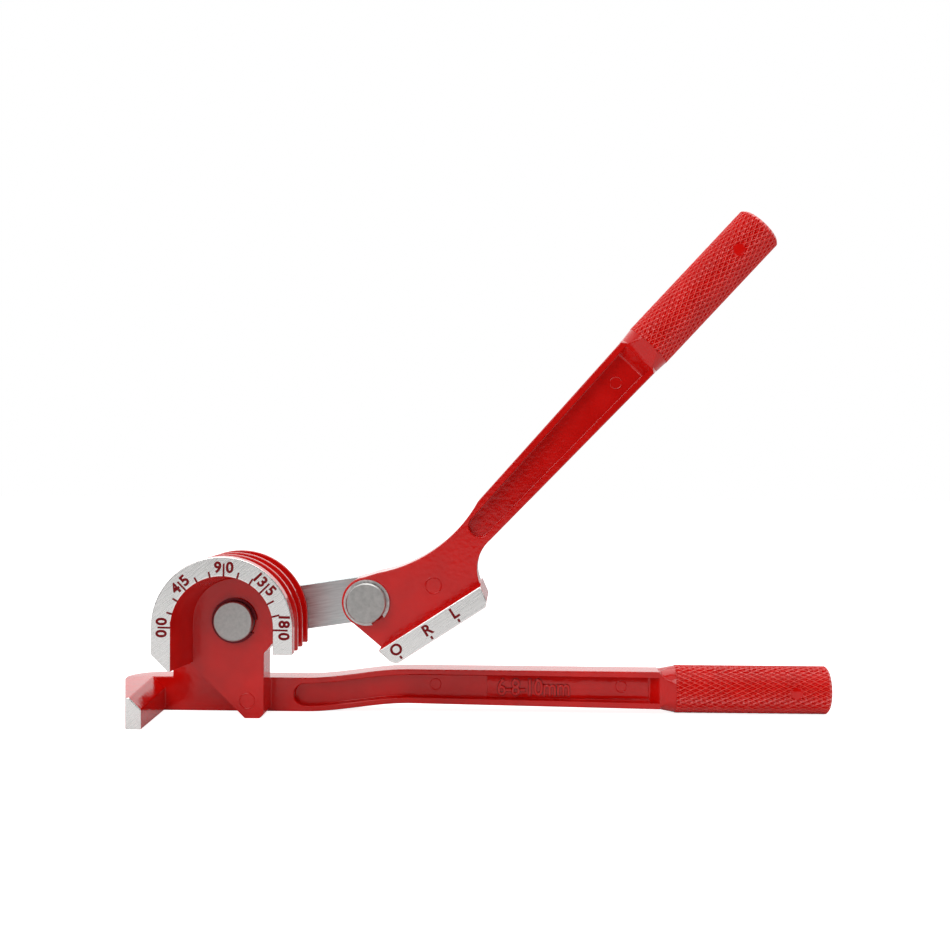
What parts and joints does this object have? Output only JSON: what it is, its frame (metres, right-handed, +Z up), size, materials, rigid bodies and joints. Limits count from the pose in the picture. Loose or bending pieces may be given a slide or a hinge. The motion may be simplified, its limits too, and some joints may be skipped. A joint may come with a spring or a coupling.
{
  "type": "tube bender",
  "caption": "Hand tube bender with a grooved half-round former and dial, a link-mounted bending shoe, a tube hook and two long handles with knurled grips.",
  "frame": {"origin": "middle of the base: centre of the bounding box in X and Y, on the surface that the bender stands on", "axes": "+X along the lower handle from the hook to its grip, +Y from the dial face to the link at the back, +Z up"},
  "size_m": [0.2653, 0.0506, 0.186],
  "materials": {
    "casting": "gloss red paint on an aluminium casting, dial, hook end and shoe strip ground bare",
    "link_steel": "zinc plated, finely brushed",
    "pin_steel": "turned, satin face and bright edge",
    "ring_steel": "dark spring steel"
  },
  "bodies": {
    "former_body": {"former_handle": "casting"},
    "link_body": {"link_plate": "link_steel", "former_pin": "pin_steel", "shoe_pin": "pin_steel", "former_snap_ring": "ring_steel", "shoe_snap_ring": "ring_steel", "former_spring_washer": "ring_steel", "shoe_spring_washer": "ring_steel"},
    "shoe_body": {"shoe_handle": "casting"}
  },
  "joints": [
    {"name": "link_swing", "type": "hinge", "parent": "former_body", "child": "link_body", "pos_m": [-0.08875, -0.0033, 0.036], "axis": [0, -1, 0], "range_deg": [-5, 185]},
    {"name": "handle_swing", "type": "hinge", "parent": "link_body", "child": "shoe_body", "pos_m": [-0.03955, -0.0033, 0.0435], "axis": [0, -1, 0], "range_deg": [-122.8, 40]}
  ]
}
